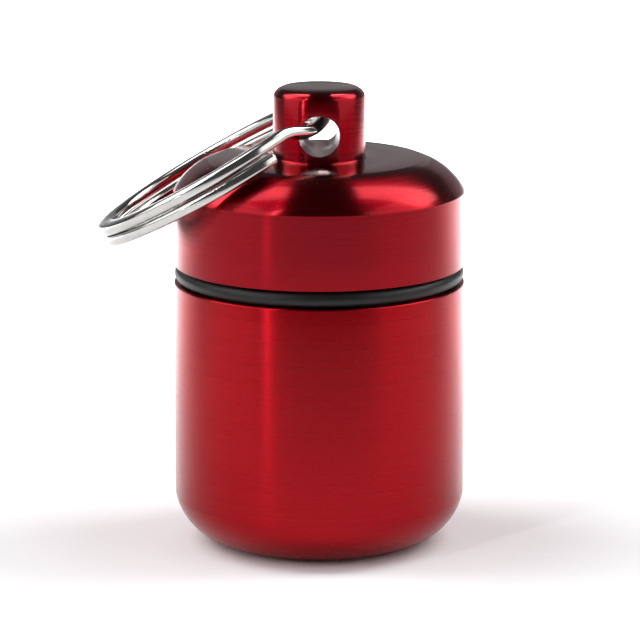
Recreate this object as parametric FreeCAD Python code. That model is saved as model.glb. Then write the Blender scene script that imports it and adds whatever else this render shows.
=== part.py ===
import FreeCAD, Part
import math
import os

V = FreeCAD.Vector
X_AXIS = V(1, 0, 0)
Y_AXIS = V(0, 1, 0)
Z_AXIS = V(0, 0, 1)

# Screw-cap pill canister on a split key ring, millimetres.
# The base stands on z = 0, the canister's axis is Z, and the hole in the cap's knob runs along Y.

# driving dimensions: canister
body_radius = 14.0
base_flat_radius = 8.45
base_round = 5.65
base_round_top = 4.63
shoulder_height = 25.5
edge_break = 0.15
bore_radius = 10.2
floor_thickness = 2.0
floor_round = 1.5
neck_top = 33.0
seat_radius = 12.3
seat_top = 27.05
relief_radius = 11.35
relief_top = 28.1

# driving dimensions: screw thread, right-handed
thread_pitch = 1.25
thread_major = 12.2
thread_depth = 0.65
root_half_width = 0.12
flank_slope = 0.507
radial_play = 0.15
axial_play = 0.1
air = 0.1
thread_start = 13.0
neck_groove_start = 27.85
cap_groove_start = 25.525

# driving dimensions: cap
cap_rim = 27.22
dome_edge_height = 34.41
dome_top = 37.5
dome_round = 6.40
dome_round_radius = 8.43
dome_round_rise = 0.16
dome_flat_radius = 9.82
cap_relief_radius = 12.6
cap_relief_bottom = 31.9
cap_relief_top = 33.3
ceiling_height = 35.2
ceiling_round = 0.8
knob_radius = 4.42
knob_foot_round = 0.25
knob_top = 44.32
knob_top_flat = 3.58
knob_shoulder = 0.8
knob_shoulder_crown = 0.12
hole_height = 40.2
hole_radius = 1.95
hole_chamfer = 0.15
drill_overrun = 1.0

# driving dimensions: O-ring
o_ring_section = 1.6
o_ring_outer_radius = 13.95

# driving dimensions: split ring
wire_width = 1.9
wire_thickness = 1.1
wire_corner = 0.4
wire_end_round = 0.3
ring_outer_radius = 12.5
coil_gap = 0.05
coil_spread = 0.3
upper_start = 27.0
step_start = 310.0
step_end = 333.0
lower_end = 301.0
ring_centre = V(-10.15, 0.7, 35.95)
ring_slope = 29.5
ring_lean = 4.2
ring_yaw = 3.8

# how finely the step between the coils is lofted, and how closely a hole's rim is recognised
step_spans = 8
rim_tolerance = 0.05


def turned(points, arcs=None):
    """Solid of revolution from its half outline in (radius, height).

    arcs maps the number of a rounded edge to the middle point of its arc.
    """
    arcs = arcs or {}
    places = [V(r, 0, z) for r, z in points]
    edges = []
    for i, start in enumerate(places):
        end = places[(i + 1) % len(places)]
        if i in arcs:
            r, z = arcs[i]
            edges.append(Part.Arc(start, V(r, 0, z), end).toShape())
        else:
            edges.append(Part.LineSegment(start, end).toShape())
    face = Part.Face(Part.Wire(edges))
    return face.revolve(V(0, 0, 0), Z_AXIS, 360)


def arc_middle(centre, radius, start_deg, end_deg):
    """Point halfway along an arc, as (radius, height)."""
    a = math.radians((start_deg + end_deg) / 2)
    return (centre[0] + radius * math.cos(a), centre[1] + radius * math.sin(a))


def angle_of(centre, point):
    return math.degrees(math.atan2(point[1] - centre[1], point[0] - centre[0]))


def tube(inner, outer, bottom, top):
    """Plain tube about the canister's axis."""
    length = top - bottom
    outside = Part.makeCylinder(outer, length, V(0, 0, bottom))
    return outside.cut(Part.makeCylinder(inner, length, V(0, 0, bottom)))


def thread_groove(outline, bottom, top):
    """Cutter for a helical groove from bottom to top; outline is its section in (radius, height)."""
    helix = Part.makeHelix(thread_pitch, top - bottom, thread_major)
    points = [V(r, 0, z) for r, z in outline]
    profile = Part.makePolygon(points + points[:1])
    cutter = Part.Wire(helix.Edges).makePipeShell([profile], True, True)
    cutter.rotate(V(0, 0, 0), Z_AXIS, thread_start)
    cutter.translate(V(0, 0, bottom))
    return cutter


def make_canister():
    round_centre = (base_flat_radius, base_round)
    bore_corner = (bore_radius - floor_round, floor_thickness + floor_round)
    outline = [
        (0, 0),
        (base_flat_radius, 0),
        (body_radius, base_round_top),
        (body_radius, shoulder_height - edge_break),
        (body_radius - edge_break, shoulder_height),
        (seat_radius, shoulder_height),
        (seat_radius, seat_top),
        (relief_radius, seat_top),
        (relief_radius, relief_top),
        (bore_radius, relief_top),
        (bore_radius, floor_thickness + floor_round),
        (bore_radius - floor_round, floor_thickness),
        (0, floor_thickness),
    ]
    base_end = angle_of(round_centre, (body_radius, base_round_top))
    arcs = {
        1: arc_middle(round_centre, base_round, -90, base_end),
        10: arc_middle(bore_corner, floor_round, 0, -90),
    }
    blank = turned(outline, arcs)
    minor = thread_major - thread_depth
    mouth = root_half_width + flank_slope * (thread_depth + air)
    groove = [
        (minor, -root_half_width),
        (thread_major + air, -mouth),
        (thread_major + air, mouth),
        (minor, root_half_width),
    ]
    neck = tube(bore_radius, thread_major, relief_top, neck_top)
    neck = neck.cut(thread_groove(groove, neck_groove_start, neck_top + thread_pitch))
    return blank.fuse(neck).removeSplitter()


def make_cap():
    dome_centre = (dome_round_radius, dome_top + dome_round_rise - dome_round)
    crest = thread_major - thread_depth + radial_play
    outline = [
        (cap_relief_radius, cap_rim),
        (body_radius - edge_break, cap_rim),
        (body_radius, cap_rim + edge_break),
        (body_radius, dome_edge_height),
        (dome_flat_radius, dome_top),
        (knob_radius + knob_foot_round, dome_top),
        (knob_radius, dome_top + knob_foot_round),
        (knob_radius, knob_top - knob_shoulder),
        (knob_top_flat, knob_top),
        (0, knob_top),
        (0, ceiling_height),
        (crest - ceiling_round, ceiling_height),
        (crest, ceiling_height - ceiling_round),
        (crest, cap_relief_top + cap_relief_radius - crest),
        (cap_relief_radius, cap_relief_top),
    ]
    foot_centre = (knob_radius + knob_foot_round, dome_top + knob_foot_round)
    ceiling_corner = (crest - ceiling_round, ceiling_height - ceiling_round)
    dome_start = angle_of(dome_centre, (body_radius, dome_edge_height))
    dome_end = angle_of(dome_centre, (dome_flat_radius, dome_top))
    shoulder_middle = (
        (knob_radius + knob_top_flat) / 2 + knob_shoulder_crown,
        knob_top - knob_shoulder / 2 + knob_shoulder_crown,
    )
    arcs = {
        3: arc_middle(dome_centre, dome_round, dome_start, dome_end),
        5: arc_middle(foot_centre, knob_foot_round, -90, -180),
        7: shoulder_middle,
        11: arc_middle(ceiling_corner, ceiling_round, 90, 0),
    }
    blank = turned(outline, arcs)

    half_pitch = thread_pitch / 2
    ridge_at_crest = half_pitch - root_half_width - flank_slope * radial_play
    mouth = ridge_at_crest + axial_play
    root = mouth - flank_slope * thread_depth
    groove = [
        (crest - air, -mouth - flank_slope * air),
        (crest + thread_depth, -root),
        (crest + thread_depth, root),
        (crest - air, mouth + flank_slope * air),
    ]
    sleeve = tube(crest, cap_relief_radius, cap_rim, cap_relief_bottom)
    sleeve = sleeve.cut(thread_groove(groove, cap_groove_start, cap_relief_top))
    lead = cap_groove_start - neck_groove_start - half_pitch
    sleeve.rotate(V(0, 0, 0), Z_AXIS, 360 * lead / thread_pitch)
    cap = blank.fuse(sleeve).removeSplitter()

    half_length = knob_radius + drill_overrun
    hole = Part.makeCylinder(hole_radius, 2 * half_length, V(0, -half_length, hole_height), Y_AXIS)
    cap = cap.cut(hole)
    rims = [e for e in cap.Edges if is_hole_rim(e)]
    return cap.makeChamfer(hole_chamfer, rims)


def is_hole_rim(edge):
    """True for the two saddle-shaped edges where the cross hole meets the knob."""
    box = edge.BoundBox
    top_matches = abs(box.ZMax - hole_height - hole_radius) < rim_tolerance
    bottom_matches = abs(box.ZMin - hole_height + hole_radius) < rim_tolerance
    return top_matches and bottom_matches and box.XLength > hole_radius


def make_o_ring():
    section = o_ring_section / 2
    middle = V(0, 0, (shoulder_height + cap_rim) / 2)
    return Part.makeTorus(o_ring_outer_radius - section, section, middle)


def wire_section():
    """Rounded oblong section of the ring's wire, in the XZ plane at the ring's mean radius."""
    mean_radius = ring_outer_radius - wire_width / 2
    w = wire_width / 2
    t = wire_thickness / 2
    c = wire_corner
    k = c * (1 - math.sqrt(0.5))
    edges = []
    corners = [(1, 1), (-1, 1), (-1, -1), (1, -1)]
    for i, (sx, sz) in enumerate(corners):
        side_end = V(mean_radius + sx * w, 0, sz * (t - c))
        flat_end = V(mean_radius + sx * (w - c), 0, sz * t)
        middle = V(mean_radius + sx * (w - k), 0, sz * (t - k))
        first, last = (side_end, flat_end) if i % 2 == 0 else (flat_end, side_end)
        edges.append(Part.Arc(first, middle, last).toShape())
        nx, nz = corners[(i + 1) % 4]
        if i % 2 == 0:
            following = V(mean_radius + nx * (w - c), 0, nz * t)
        else:
            following = V(mean_radius + nx * w, 0, nz * (t - c))
        edges.append(Part.LineSegment(last, following).toShape())
    return Part.Wire(edges)


def laid(shape, side):
    """Put a piece of coil on its layer: side 1 is the upper coil, -1 the lower, between them the step."""
    out = shape.copy()
    out.rotate(V(-ring_outer_radius, 0, 0), Y_AXIS, -side * coil_spread)
    out.translate(V(0, 0, side * (wire_thickness + coil_gap) / 2))
    return out


def coil(start, end, side):
    face = Part.Face(wire_section())
    face.rotate(V(0, 0, 0), Z_AXIS, start)
    return laid(face.revolve(V(0, 0, 0), Z_AXIS, end - start), side)


def step():
    """The short stretch where the wire passes from the upper coil to the lower one."""
    sections = []
    for i in range(step_spans + 1):
        t = i / step_spans
        ease = t * t * (3 - 2 * t)
        wire = wire_section()
        wire.rotate(V(0, 0, 0), Z_AXIS, step_start + t * (step_end - step_start))
        sections.append(laid(wire, 1 - 2 * ease))
    return Part.makeLoft(sections, True, False)


def make_split_ring():
    upper = coil(upper_start, step_start, 1)
    lower = coil(step_end - 360, lower_end, -1)
    upper = rounded_end(upper, upper_start, 1)
    lower = rounded_end(lower, lower_end, -1)
    ring = upper.fuse(step()).fuse(lower)
    ring.rotate(V(0, 0, 0), X_AXIS, -ring_lean)
    ring.rotate(V(0, 0, 0), Y_AXIS, -ring_slope)
    ring.rotate(V(0, 0, 0), Z_AXIS, ring_yaw)
    ring.translate(ring_centre)
    return ring


def rounded_end(piece, angle, side):
    """Round the cut end of a coil at the given angle."""
    cut = Part.Face(wire_section())
    cut.rotate(V(0, 0, 0), Z_AXIS, angle)
    middle = laid(cut, side).CenterOfMass
    end_face = min(piece.Faces, key=lambda f: f.CenterOfMass.distanceToPoint(middle))
    return piece.makeFillet(wire_end_round, end_face.Edges)


def save(name, shape):
    print(name, len(shape.Solids), "solid, valid:", shape.isValid(), "volume:", round(shape.Volume, 2))
    shape.Solids[0].exportStep("parts/" + name + ".step")


os.makedirs("parts", exist_ok=True)
save("canister", make_canister())
save("cap", make_cap())
save("o_ring", make_o_ring())
save("split_ring", make_split_ring())
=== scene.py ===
import math

import bpy
from mathutils import Matrix, Vector


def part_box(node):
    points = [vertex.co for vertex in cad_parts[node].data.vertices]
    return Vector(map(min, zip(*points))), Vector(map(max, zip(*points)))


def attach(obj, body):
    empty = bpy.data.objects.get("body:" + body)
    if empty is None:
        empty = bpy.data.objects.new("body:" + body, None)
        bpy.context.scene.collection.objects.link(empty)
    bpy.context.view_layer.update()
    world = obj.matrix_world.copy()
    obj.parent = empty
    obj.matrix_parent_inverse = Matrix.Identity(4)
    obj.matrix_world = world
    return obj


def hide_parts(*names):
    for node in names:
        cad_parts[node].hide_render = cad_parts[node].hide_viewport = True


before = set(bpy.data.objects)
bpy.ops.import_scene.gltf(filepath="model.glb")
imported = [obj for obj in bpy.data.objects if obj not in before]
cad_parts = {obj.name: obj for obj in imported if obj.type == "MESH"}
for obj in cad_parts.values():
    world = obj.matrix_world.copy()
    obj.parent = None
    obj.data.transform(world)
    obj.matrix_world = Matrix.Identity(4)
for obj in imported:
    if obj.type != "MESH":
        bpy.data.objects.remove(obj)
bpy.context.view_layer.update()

MM = 0.001

# Turned sizes in millimetres; heights that the frame holds are read from it.
BODY_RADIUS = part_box("canister")[1][0] / MM
NECK_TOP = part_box("canister")[1][2] / MM
CAP_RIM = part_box("cap")[0][2] / MM
KNOB_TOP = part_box("cap")[1][2] / MM
SEAL_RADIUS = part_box("o_ring")[1][0] / MM
SEAL_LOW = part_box("o_ring")[0][2] / MM
SEAL_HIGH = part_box("o_ring")[1][2] / MM

# Canister. Each turned piece starts and ends in a small flat disc on its axis.
CENTRE_DISC = 1.0
BASE_FLAT = 8.45
BASE_ROUND = 5.65
BASE_ROUND_TOP = 4.63
SHOULDER = 25.5
EDGE_BREAK = 0.12
BORE = 10.2
FLOOR = 2.0
FLOOR_ROUND = 1.5
SEAT_RADIUS = 12.3
SEAT_TOP = 27.05
RELIEF_RADIUS = 11.35
RELIEF_TOP = 28.1
BODY_BAND = 12.0
MOUTH_BREAK = 0.1

# Screw thread. A ridge is an oblong bar as thin as its crest, with its back sunk into the wall.
PITCH = 1.25
THREAD_MAJOR = 12.2
THREAD_DEPTH = 0.65
THREAD_START_DEG = 13.0
NECK_GROOVE_START = 27.85
STEPS_PER_TURN = 48
RIDGE_SINK = 0.1
NECK_CREST = THREAD_MAJOR - 0.01
NECK_RIDGE_HALF = 0.165
NECK_RIDGE_INSET = 0.54
CAP_BORE = 12.35
CAP_CREST = 11.72
CAP_RIDGE_HALF = 0.09
CAP_RIDGE_TOP_INSET = 0.41
CAP_RIDGE_RIM_INSET = 0.51
CAP_THREAD_TOP = 31.9

# Cap. The bands are rings of edges between the corners, which keep the long faces short.
CAP_BAND = 30.0
DOME_EDGE = 34.41
DOME_LEAD = 0.04
DOME_BAND = 7.0
DOME_TOP = 37.5
DOME_FLAT = 9.82
DOME_ROUND = 6.40
DOME_CENTRE = (8.43, 31.26)
CEILING = 35.2
CEILING_ROUND = 0.8
CAP_HOLLOW = 11.7
CAP_RELIEF = 12.6
CAP_RELIEF_TOP = 33.3
CAP_HOLLOW_FOOT = 34.2
KNOB_RADIUS = 4.42
KNOB_FOOT = 0.25
KNOB_FLAT = 3.58
KNOB_SHOULDER = 0.8
KNOB_CROWN = 0.1
HOLE_HEIGHT = 40.2
HOLE_RADIUS = 1.95
DRILL_LENGTH = 14

# O-ring.
FLASH_PROUD = 0.012
FLASH_REACH = 0.02

# Split ring: one flat wire in two coils. The strides are degrees between its sections.
WIRE_WIDTH = 1.9
WIRE_THICKNESS = 1.1
WIRE_CORNER = 0.42
WIRE_END_ROUND = 0.28
RING_RADIUS = 12.5
COIL_GAP = 0.05
COIL_SPREAD = 0.3
UPPER_START = 27
STEP_START = 310
STEP_END = 333
LOWER_END = 360 + 301
RING_CENTRE = (-10.15, 0.7, 35.95)
RING_SLOPE = 29.5
RING_LEAN = 4.2
RING_YAW = 3.8
COIL_STRIDE = 2
STEP_STRIDE = 1
STEP_MARGIN = 2

AROUND = 192
OBJECT_MIDDLE = (0, 0, 0.022)

# Dye colours, pale on the crests of the turning lines and deep between them; the darker grooves are painted
# shade.
BODY_PALE = (0.39, 0.0036, 0.0095, 1)
BODY_DEEP = (0.25, 0.0018, 0.005, 1)
# Painted shade: the cap's colours are a darker copy of the body's, standing in for the darker reflections on
# the cap.
CAP_PALE_PAINTED_SHADE = (0.31, 0.003, 0.0105, 1)
CAP_DEEP_PAINTED_SHADE = (0.17, 0.0013, 0.0048, 1)
# Wall of the cross hole: plum-grey, its pink tint a painted reflection of the red.
HOLE_WALL_PAINTED_REFLECTION = (0.36, 0.25, 0.27, 1)

# Soft boxes aimed at the object: bearing, rise, distance, width, height, power.
STANDING_BOXES = {
    "left_box": (-76, 30, 0.50, 0.44, 0.38, 1.1),
    "right_box": (76, 30, 0.50, 0.50, 0.38, 1.05),
    "edge_strip": (-41, 28, 0.60, 0.012, 0.60, 0.70),
    "back_glow": (180, 12, 1.30, 2.2, 0.50, 0.60),
}
# Boxes over the object and over the paper behind it: place, aim, width, height, power.
HANGING_BOXES = {
    "left_top_box": ((-0.31, 0.09, 0.46), OBJECT_MIDDLE, 0.26, 0.46, 1.9),
    "right_top_box": ((0.33, 0.11, 0.46), OBJECT_MIDDLE, 0.26, 0.46, 1.9),
    "paper_light": ((0.0, 0.36, 0.26), (0, 0.36, 0), 0.9, 0.52, 4.5),
}
PAPER_LIGHT_SPREAD = 40
FLOOR_SIZE = 6

CAMERA_DISTANCE = 373.57
CAMERA_RISE = 12.475
CAMERA_AIM = 21.49
CAMERA_LENS = 217.15
CAMERA_SHIFT = 0.00125


# ---------------------------------------------------------------- shop tools

def clear_selection():
    if bpy.context.object and bpy.context.object.mode != "OBJECT":
        bpy.ops.object.mode_set(mode="OBJECT")
    bpy.ops.object.select_all(action="DESELECT")


def arc(centre, radius, start_deg, end_deg, steps):
    """Points of a round, as (radius, height), without its first point."""
    points = []
    for i in range(1, steps + 1):
        a = math.radians(start_deg + (end_deg - start_deg) * i / steps)
        points.append((centre[0] + radius * math.cos(a), centre[1] + radius * math.sin(a)))
    return points


def bearing(centre, point):
    return math.degrees(math.atan2(point[1] - centre[1], point[0] - centre[0]))


def lathe(name, outline):
    """Turn a piece as on a lathe: one ring of edges is drawn out from point to point of the outline."""
    clear_selection()
    radius, height = outline[0]
    place = (0, 0, height * MM)
    bpy.ops.mesh.primitive_circle_add(vertices=AROUND, radius=radius * MM, fill_type="NGON", location=place)
    piece = bpy.context.object
    piece.name = name
    bpy.ops.object.transform_apply(location=True)
    bpy.ops.object.mode_set(mode="EDIT")
    bpy.ops.mesh.select_all(action="SELECT")
    for new_radius, new_height in outline[1:]:
        rise = (0, 0, (new_height - height) * MM)
        bpy.ops.mesh.extrude_region_move(TRANSFORM_OT_translate={"value": rise})
        grow = new_radius / radius
        bpy.ops.transform.resize(value=(grow, grow, 1), center_override=(0, 0, new_height * MM))
        radius, height = new_radius, new_height
    finish_mesh()
    return piece


def finish_mesh():
    """Merge doubles, point the faces outwards and leave edit mode."""
    bpy.ops.mesh.select_all(action="SELECT")
    bpy.ops.mesh.remove_doubles(threshold=1e-7)
    bpy.ops.mesh.normals_make_consistent(inside=False)
    bpy.ops.object.mode_set(mode="OBJECT")


def draw_round(steps):
    """Draw the selected section round the Z axis; each step is (turn in degrees, rise in millimetres)."""
    for turn, rise in steps:
        bpy.ops.mesh.extrude_region_move()
        angle = -math.radians(turn)
        bpy.ops.transform.rotate(value=angle, orient_axis="Z", center_override=(0, 0, 0))
        bpy.ops.transform.translate(value=(0, 0, rise * MM))


def thread_ridge(name, crest_radius, root_radius, half_height, bottom, top, phase):
    """One screw ridge of oblong section, drawn up the helix; phase is the height it passes at angle 0."""
    clear_selection()
    place = ((crest_radius + root_radius) / 2 * MM, 0, 0)
    bpy.ops.mesh.primitive_plane_add(size=MM, location=place, rotation=(math.pi / 2, 0, 0))
    ridge = bpy.context.object
    ridge.name = name
    ridge.scale = (abs(crest_radius - root_radius), half_height * 2, 1)
    bpy.ops.object.transform_apply(location=True, rotation=True, scale=True)
    ridge.rotation_euler = (0, 0, math.radians(360 * (bottom - phase) / PITCH))
    ridge.location = (0, 0, bottom * MM)
    bpy.ops.object.transform_apply(location=True, rotation=True)
    bpy.ops.object.mode_set(mode="EDIT")
    bpy.ops.mesh.select_all(action="SELECT")
    count = int((top - bottom) / PITCH * STEPS_PER_TURN)
    draw_round([(360 / STEPS_PER_TURN, PITCH / STEPS_PER_TURN)] * count)
    finish_mesh()
    return ridge


def join(pieces):
    clear_selection()
    for piece in pieces:
        piece.select_set(True)
    bpy.context.view_layer.objects.active = pieces[0]
    bpy.ops.object.join()
    return pieces[0]


def apply_modifier(piece, kind, **settings):
    clear_selection()
    piece.select_set(True)
    bpy.context.view_layer.objects.active = piece
    modifier = piece.modifiers.new(kind.title(), kind)
    for key, value in settings.items():
        setattr(modifier, key, value)
    bpy.ops.object.modifier_apply(modifier=modifier.name)


def smooth(piece, degrees=25):
    clear_selection()
    piece.select_set(True)
    bpy.context.view_layer.objects.active = piece
    bpy.ops.object.shade_smooth_by_angle(angle=math.radians(degrees))


# ---------------------------------------------------------------- pieces

def make_canister():
    base_centre = (BASE_FLAT, BASE_ROUND)
    base_end = bearing(base_centre, (BODY_RADIUS, BASE_ROUND_TOP))
    edge = (BODY_RADIUS - EDGE_BREAK, SHOULDER - EDGE_BREAK)
    core = THREAD_MAJOR - THREAD_DEPTH
    outline = [(CENTRE_DISC, 0.0), (BASE_FLAT, 0.0)]
    outline += arc(base_centre, BASE_ROUND, -90, base_end, 20)
    outline += [(BODY_RADIUS, BODY_BAND), (BODY_RADIUS, SHOULDER - EDGE_BREAK)]
    outline += arc(edge, EDGE_BREAK, 0, 90, 4)
    outline += [(SEAT_RADIUS, SHOULDER), (SEAT_RADIUS, SEAT_TOP), (RELIEF_RADIUS, SEAT_TOP)]
    outline += [(RELIEF_RADIUS, RELIEF_TOP), (core, RELIEF_TOP), (core, NECK_TOP - MOUTH_BREAK)]
    outline += [(core - MOUTH_BREAK, NECK_TOP), (BORE + MOUTH_BREAK, NECK_TOP)]
    outline += [(BORE, NECK_TOP - MOUTH_BREAK), (BORE, FLOOR + FLOOR_ROUND)]
    outline += arc((BORE - FLOOR_ROUND, FLOOR + FLOOR_ROUND), FLOOR_ROUND, 0, -90, 8)
    outline += [(CENTRE_DISC, FLOOR)]
    body = lathe("red_canister", outline)
    phase = NECK_GROOVE_START - PITCH * THREAD_START_DEG / 360 + PITCH / 2
    low = RELIEF_TOP + NECK_RIDGE_INSET
    high = NECK_TOP - NECK_RIDGE_INSET
    ridge = thread_ridge("neck_ridge", NECK_CREST, core - RIDGE_SINK, NECK_RIDGE_HALF, low, high, phase)
    body = join([body, ridge])
    smooth(body)
    return body


def make_cap():
    dome_start = bearing(DOME_CENTRE, (BODY_RADIUS, DOME_EDGE))
    dome_end = bearing(DOME_CENTRE, (DOME_FLAT, DOME_TOP))
    foot = (KNOB_RADIUS + KNOB_FOOT, DOME_TOP + KNOB_FOOT)
    shoulder_start = (KNOB_RADIUS, KNOB_TOP - KNOB_SHOULDER)
    outline = [(CENTRE_DISC, CEILING), (CAP_HOLLOW - CEILING_ROUND, CEILING)]
    outline += arc((CAP_HOLLOW - CEILING_ROUND, CEILING - CEILING_ROUND), CEILING_ROUND, 90, 0, 6)
    outline += [(CAP_HOLLOW, CAP_HOLLOW_FOOT), (CAP_RELIEF, CAP_RELIEF_TOP)]
    outline += [(CAP_RELIEF, CAP_THREAD_TOP), (CAP_BORE, CAP_THREAD_TOP)]
    outline += [(CAP_BORE, CAP_RIM + MOUTH_BREAK), (CAP_BORE + MOUTH_BREAK, CAP_RIM)]
    outline += [(BODY_RADIUS - EDGE_BREAK, CAP_RIM)]
    outline += arc((BODY_RADIUS - EDGE_BREAK, CAP_RIM + EDGE_BREAK), EDGE_BREAK, -90, 0, 4)
    outline += [(BODY_RADIUS, CAP_BAND), (BODY_RADIUS, DOME_EDGE - DOME_LEAD)]
    outline += arc(DOME_CENTRE, DOME_ROUND, dome_start, dome_end, 24)
    outline += [(DOME_BAND, DOME_TOP), (KNOB_RADIUS + KNOB_FOOT, DOME_TOP)]
    outline += arc(foot, KNOB_FOOT, -90, -180, 6)
    outline += [shoulder_start]
    outline += shoulder_round(shoulder_start, (KNOB_FLAT, KNOB_TOP), 6)
    outline += [(CENTRE_DISC, KNOB_TOP)]
    cap = lathe("red_cap", outline)
    drill_hole(cap)
    phase = NECK_GROOVE_START - PITCH * THREAD_START_DEG / 360
    low = CAP_RIM + CAP_RIDGE_RIM_INSET
    high = CAP_THREAD_TOP - CAP_RIDGE_TOP_INSET
    ridge = thread_ridge("cap_ridge", CAP_CREST, CAP_BORE + RIDGE_SINK, CAP_RIDGE_HALF, low, high, phase)
    cap = join([cap, ridge])
    smooth(cap)
    return cap


def shoulder_round(start, end, steps):
    """A slightly crowned chamfer between two (radius, height) points."""
    points = []
    for i in range(1, steps + 1):
        t = i / steps
        swell = KNOB_CROWN * 4 * t * (1 - t)
        radius = start[0] + (end[0] - start[0]) * t + swell
        points.append((radius, start[1] + (end[1] - start[1]) * t + swell))
    return points


def drill_hole(cap):
    """Drill the cross hole through the knob, front to back."""
    clear_selection()
    bpy.ops.mesh.primitive_cylinder_add(
        vertices=96,
        radius=HOLE_RADIUS * MM,
        depth=DRILL_LENGTH * MM,
        location=(0, 0, HOLE_HEIGHT * MM),
        rotation=(math.pi / 2, 0, 0),
    )
    drill = bpy.context.object
    bpy.ops.object.transform_apply(location=True, rotation=True)
    apply_modifier(cap, "BOOLEAN", operation="DIFFERENCE", solver="EXACT", object=drill)
    bpy.data.objects.remove(drill)


def make_o_ring():
    clear_selection()
    section = (SEAL_HIGH - SEAL_LOW) / 2
    bpy.ops.mesh.primitive_torus_add(
        major_radius=(SEAL_RADIUS - section) * MM,
        minor_radius=section * MM,
        major_segments=AROUND,
        minor_segments=32,
        location=(0, 0, (SEAL_LOW + SEAL_HIGH) / 2 * MM),
    )
    seal = bpy.context.object
    seal.name = "rubber_seal"
    bpy.ops.object.transform_apply(location=True)
    mould_flash(seal)
    smooth(seal, 60)
    return seal


def mould_flash(seal):
    """A faint parting line round the O-ring, as its mould leaves it."""
    bpy.ops.object.mode_set(mode="EDIT")
    bpy.ops.mesh.select_all(action="DESELECT")
    bpy.ops.object.mode_set(mode="OBJECT")
    middle = (SEAL_LOW + SEAL_HIGH) / 2 * MM
    for vertex in seal.data.vertices:
        outer = vertex.co.xy.length > (SEAL_RADIUS - FLASH_REACH) * MM
        vertex.select = outer and abs(vertex.co.z - middle) < FLASH_REACH * MM
    bpy.ops.object.mode_set(mode="EDIT")
    bpy.ops.mesh.select_mode(type="VERT")
    grow = SEAL_RADIUS / (SEAL_RADIUS - FLASH_PROUD)
    bpy.ops.transform.resize(value=(grow, grow, 1), center_override=(0, 0, middle))
    bpy.ops.object.mode_set(mode="OBJECT")


def layer_height(angle):
    """Height of the wire's centre over the ring's middle plane; side runs from 1, upper, to -1, lower."""
    if angle <= STEP_START:
        side = 1.0
    elif angle >= STEP_END:
        side = -1.0
    else:
        t = (angle - STEP_START) / (STEP_END - STEP_START)
        side = 1 - 2 * t * t * (3 - 2 * t)
    mean = RING_RADIUS - WIRE_WIDTH / 2
    reach = RING_RADIUS + mean * math.cos(math.radians(angle))
    spread = math.sin(math.radians(COIL_SPREAD)) * reach
    return side * ((WIRE_THICKNESS + COIL_GAP) / 2 + spread)


def wire_steps():
    """The turns and rises that lead the wire through both coils, closer together at the step."""
    steps = []
    angle = UPPER_START
    while angle < LOWER_END:
        at_step = STEP_START - STEP_MARGIN <= angle < STEP_END + STEP_MARGIN
        stride = min(STEP_STRIDE if at_step else COIL_STRIDE, LOWER_END - angle)
        steps.append((stride, layer_height(angle + stride) - layer_height(angle)))
        angle += stride
    return steps


def make_split_ring():
    clear_selection()
    mean = RING_RADIUS - WIRE_WIDTH / 2
    bpy.ops.mesh.primitive_plane_add(size=MM, location=(mean * MM, 0, 0), rotation=(math.pi / 2, 0, 0))
    ring = bpy.context.object
    ring.name = "split_key_ring"
    ring.scale = (WIRE_WIDTH, WIRE_THICKNESS, 1)
    bpy.ops.object.transform_apply(location=True, rotation=True, scale=True)
    ring.rotation_euler = (0, 0, math.radians(UPPER_START))
    ring.location = (0, 0, layer_height(UPPER_START) * MM)
    bpy.ops.object.transform_apply(location=True, rotation=True)
    bpy.ops.object.mode_set(mode="EDIT")
    bpy.ops.mesh.select_all(action="SELECT")
    bpy.ops.mesh.bevel(offset=WIRE_CORNER * MM, segments=6, affect="VERTICES")
    bpy.ops.mesh.select_all(action="SELECT")
    draw_round(wire_steps())
    bpy.ops.mesh.select_mode(type="FACE")
    finish_mesh()
    round_wire_ends(ring)
    pose = Matrix.Translation(Vector(RING_CENTRE) * MM)
    pose = pose @ Matrix.Rotation(math.radians(RING_YAW), 4, "Z")
    pose = pose @ Matrix.Rotation(math.radians(-RING_SLOPE), 4, "Y")
    pose = pose @ Matrix.Rotation(math.radians(-RING_LEAN), 4, "X")
    ring.matrix_world = pose
    bpy.ops.object.transform_apply(location=True, rotation=True)
    smooth(ring, 35)
    return ring


def round_wire_ends(ring):
    """Round over the edges of the two cut ends, which are the only faces with many sides."""
    end_edges = set()
    for face in ring.data.polygons:
        face.select = len(face.vertices) > 4
        if face.select:
            end_edges.update(face.edge_keys)
    for vertex in ring.data.vertices:
        vertex.select = False
    for edge in ring.data.edges:
        edge.select = edge.key in end_edges
    bpy.ops.object.mode_set(mode="EDIT")
    bpy.ops.mesh.select_mode(type="EDGE")
    bpy.ops.mesh.bevel(offset=WIRE_END_ROUND * MM, segments=4, affect="EDGES")
    finish_mesh()


# ---------------------------------------------------------------- finishes

class Wire:
    """A socket that can be used in sums; each operator adds its Math node."""

    def __init__(self, finish, socket):
        self.finish = finish
        self.socket = socket

    def _math(self, operation, *values):
        return self.finish.node("ShaderNodeMath", {"operation": operation}, dict(enumerate(values)))

    def __add__(self, other):
        return self._math("ADD", self, other)

    def __radd__(self, other):
        return self._math("ADD", other, self)

    def __sub__(self, other):
        return self._math("SUBTRACT", self, other)

    def __rsub__(self, other):
        return self._math("SUBTRACT", other, self)

    def __mul__(self, other):
        return self._math("MULTIPLY", self, other)

    def __rmul__(self, other):
        return self._math("MULTIPLY", other, self)

    def __truediv__(self, other):
        return self._math("DIVIDE", self, other)

    def __pow__(self, other):
        return self._math("POWER", self, other)

    def below(self, limit):
        return self._math("LESS_THAN", self, limit)

    def above(self, limit):
        return self._math("GREATER_THAN", self, limit)


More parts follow.
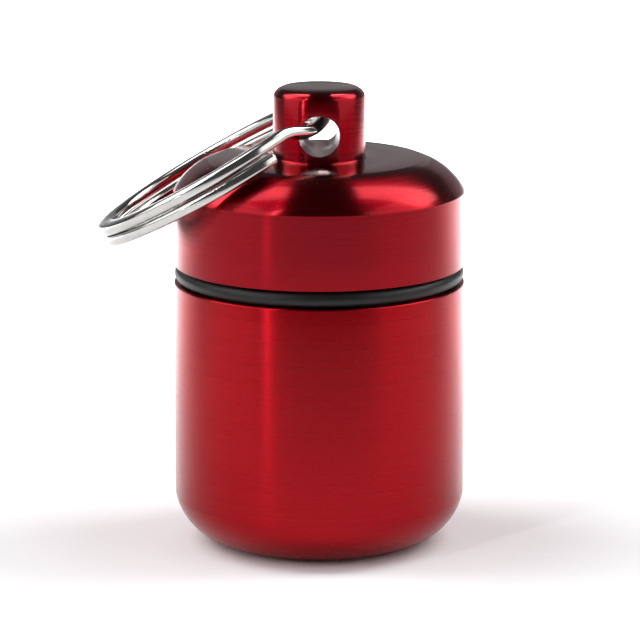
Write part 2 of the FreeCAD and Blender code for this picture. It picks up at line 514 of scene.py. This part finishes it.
class Finish:
    """One material and the few ways that its nodes are added."""

    def __init__(self, name):
        self.material = bpy.data.materials.new(name)
        self.material.use_nodes = True
        self.tree = self.material.node_tree
        self.shader = self.tree.nodes["Principled BSDF"]

    def node(self, kind, settings=None, values=None, output=0):
        made = self.tree.nodes.new(kind)
        for key, value in (settings or {}).items():
            setattr(made, key, value)
        for key, value in (values or {}).items():
            self.feed(made.inputs[key], value)
        return Wire(self, made.outputs[output])

    def feed(self, socket, value):
        if isinstance(value, Wire):
            self.tree.links.new(value.socket, socket)
        else:
            socket.default_value = value

    def set(self, **values):
        for key, value in values.items():
            self.feed(self.shader.inputs[key.replace("_", " ")], value)

    def place(self):
        """Object coordinates in millimetres, as three sockets."""
        point = self.node("ShaderNodeTexCoord", output="Object")
        split = self.node("ShaderNodeSeparateXYZ", values={"Vector": point})
        outputs = split.socket.node.outputs
        return [Wire(self, outputs[i]) / MM for i in range(3)]

    def at(self, x, y, z):
        return self.node("ShaderNodeCombineXYZ", values={"X": x, "Y": y, "Z": z})

    def noise(self, point, scale, detail=2.0, roughness=0.5):
        values = {"Vector": point, "Scale": scale, "Detail": detail, "Roughness": roughness}
        return self.node("ShaderNodeTexNoise", values=values)

    def blend(self, share, first, second):
        """Mix two colours; the colour sockets of a Mix node are found by number, as three share each name."""
        node = self.node("ShaderNodeMix", {"data_type": "RGBA"}).socket.node
        self.feed(node.inputs[0], share)
        self.feed(node.inputs[6], first)
        self.feed(node.inputs[7], second)
        return Wire(self, node.outputs[2])

    def length(self, x, y):
        return (x * x + y * y) ** 0.5

    def bump(self, height, distance):
        return self.node("ShaderNodeBump", values={"Height": height, "Distance": distance * MM})


def red_turned_aluminium(name, line_depth, pale, deep, gloss, hole):
    """Dyed and sealed aluminium with the lathe's fine lines, whose grooves get painted shade; hole adds the
    plum-grey wall of a cross hole, its pink tint a painted reflection of the red.

    The level faces on top are sealed more thickly and polished.
    """
    finish = Finish(name)
    x, y, z = finish.place()
    radius = finish.length(x, y)
    lines = finish.noise(finish.at(radius, 0.0, z), 4.5, 3.0, 0.65)
    broad = finish.noise(finish.at(radius, 0.0, z), 1.3, 2.0)
    streak = finish.noise(finish.at(x * 0.35, y * 0.35, z * 9.0), 1.0, 2.0)
    dust = finish.noise(finish.at(x, y, z), 2.6, 4.0, 0.6)
    # Painted shade: the turning-line noise makes the grooves between crests darker, while broad and streak
    # add random tone.
    shade = lines * 1.2 + broad * 0.3 + streak * 0.3 - 0.4
    dye_with_painted_light = finish.blend(shade, deep, pale)
    roughness = gloss + shade * 0.12 + (dust ** 3.0) * 0.12
    # Painted reflection: the cross hole's wall is coloured plum-grey, its pink tint standing in for the red
    # reflected inside it.
    if hole:
        drilled = finish.length(x, z - HOLE_HEIGHT).below(HOLE_RADIUS + 0.05)
        in_knob = z.above(DOME_TOP + KNOB_FOOT) * radius.below(KNOB_RADIUS - 0.06)
        hole_wall = drilled * in_knob
        dye_with_painted_light = finish.blend(hole_wall, dye_with_painted_light, HOLE_WALL_PAINTED_REFLECTION)
        roughness = roughness + hole_wall * 0.14
    flat = z.above(DOME_TOP - 0.25) * radius.above(KNOB_RADIUS + 0.15) + z.above(KNOB_TOP - 0.25)
    sealed = 0.15 + flat * 0.45
    roughness = roughness * (1 - flat * 0.45)
    finish.set(
        Base_Color=dye_with_painted_light,
        Roughness=roughness,
        Normal=finish.bump(lines * 0.6 + streak * 0.4, line_depth),
        Metallic=1.0,
        Anisotropic=0.9,
        Anisotropic_Rotation=0.25,
        Coat_Weight=sealed,
        Coat_Roughness=0.12,
        Coat_IOR=1.5,
    )
    return finish.material


def black_rubber():
    finish = Finish("black_seal_rubber")
    x, y, z = finish.place()
    grain = finish.noise(finish.at(x, y, z), 9.0, 4.0, 0.6)
    bloom = finish.noise(finish.at(x, y, z), 0.7, 3.0, 0.5)
    colour = finish.blend(bloom, (0.004, 0.0038, 0.0035, 1), (0.012, 0.0115, 0.011, 1))
    finish.set(
        Base_Color=colour,
        Roughness=0.30 + grain * 0.12 + bloom * 0.08,
        Normal=finish.bump(grain, 0.012),
        Specular_IOR_Level=0.28,
    )
    return finish.material


def nickel_plate():
    finish = Finish("bright_nickel_plate")
    x, y, z = finish.place()
    wear = finish.noise(finish.at(x, y, z), 1.1, 3.0, 0.6)
    fine = finish.noise(finish.at(x, y, z), 14.0, 3.0, 0.6)
    drawn = finish.noise(finish.at(x * 0.5, y * 0.5, z * 8.0), 1.0, 2.0)
    colour = finish.blend(wear, (0.48, 0.468, 0.448, 1), (0.62, 0.607, 0.585, 1))
    finish.set(
        Base_Color=colour,
        Roughness=0.07 + wear * 0.07 + (fine ** 4.0) * 0.2,
        Normal=finish.bump(fine * 0.4 + drawn * 0.6, 0.004),
        Metallic=1.0,
    )
    return finish.material


def pale_floor():
    finish = Finish("pale_paper")
    x, y, z = finish.place()
    fibre = finish.noise(finish.at(x, y, z), 0.6, 3.0)
    finish.set(
        Base_Color=finish.blend(fibre, (0.93, 0.93, 0.94, 1), (0.96, 0.96, 0.97, 1)),
        Roughness=0.85,
    )
    return finish.material


def wear_finish(piece, material):
    piece.data.materials.clear()
    piece.data.materials.append(material)


# ---------------------------------------------------------------- studio

def soft_box(name, place, aim, width, height, power):
    clear_selection()
    bpy.ops.object.light_add(type="AREA", location=place)
    light = bpy.context.object
    light.name = name
    light.data.shape = "RECTANGLE"
    light.data.size = width
    light.data.size_y = height
    light.data.energy = power
    direction = Vector(aim) - Vector(place)
    light.rotation_euler = direction.to_track_quat("-Z", "Y").to_euler()


def stand_box(name, turn, rise, distance, width, height, power):
    """A soft box aimed at the object; turn is its bearing round the object, right of the camera positive."""
    aim = Vector(OBJECT_MIDDLE)
    turn, rise = math.radians(turn), math.radians(rise)
    away = Vector((math.sin(turn) * math.cos(rise), -math.cos(turn) * math.cos(rise), math.sin(rise)))
    soft_box(name, aim + away * distance, aim, width, height, power)


def make_studio():
    clear_selection()
    bpy.ops.mesh.primitive_plane_add(size=FLOOR_SIZE)
    floor = bpy.context.object
    floor.name = "studio_floor"
    wear_finish(floor, pale_floor())
    for name, (turn, rise, distance, width, height, power) in STANDING_BOXES.items():
        stand_box(name, turn, rise, distance, width, height, power)
    for name, (place, aim, width, height, power) in HANGING_BOXES.items():
        soft_box(name, place, aim, width, height, power)
    bpy.data.objects["paper_light"].data.spread = math.radians(PAPER_LIGHT_SPREAD)
    bpy.context.scene.view_settings.view_transform = "Standard"
    world = bpy.data.worlds.new("studio_air")
    bpy.context.scene.world = world
    world.use_nodes = True
    air = world.node_tree.nodes["Background"]
    air.inputs["Color"].default_value = (0.75, 0.76, 0.78, 1)
    air.inputs["Strength"].default_value = 0.09


def make_camera():
    """The camera stands a little above the object and looks down at its middle."""
    distance = CAMERA_DISTANCE * MM
    elevation = math.radians(CAMERA_RISE)
    look_height = CAMERA_AIM * MM
    clear_selection()
    bpy.ops.object.camera_add(
        location=(0, -distance * math.cos(elevation), look_height + distance * math.sin(elevation)),
        rotation=(math.pi / 2 - elevation, 0, 0),
    )
    camera = bpy.context.object
    camera.name = "studio_camera"
    camera.data.lens = CAMERA_LENS
    camera.data.sensor_width = 36.0
    camera.data.shift_x = CAMERA_SHIFT
    camera.data.clip_start = 0.01
    camera.data.clip_end = 20
    bpy.context.scene.camera = camera


# ---------------------------------------------------------------- assembly

canister = make_canister()
wear_finish(canister, red_turned_aluminium("red_turned_body", 0.009, BODY_PALE, BODY_DEEP, 0.22, False))
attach(canister, "canister")
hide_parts("canister")

cap = make_cap()
wear_finish(cap, red_turned_aluminium("red_turned_cap_painted_shade", 0.018, CAP_PALE_PAINTED_SHADE, CAP_DEEP_PAINTED_SHADE, 0.16, True))
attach(cap, "cap")
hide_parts("cap")

o_ring = make_o_ring()
wear_finish(o_ring, black_rubber())
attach(o_ring, "seal")
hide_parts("o_ring")

split_ring = make_split_ring()
wear_finish(split_ring, nickel_plate())
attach(split_ring, "ring")
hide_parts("split_ring")

make_studio()
make_camera()
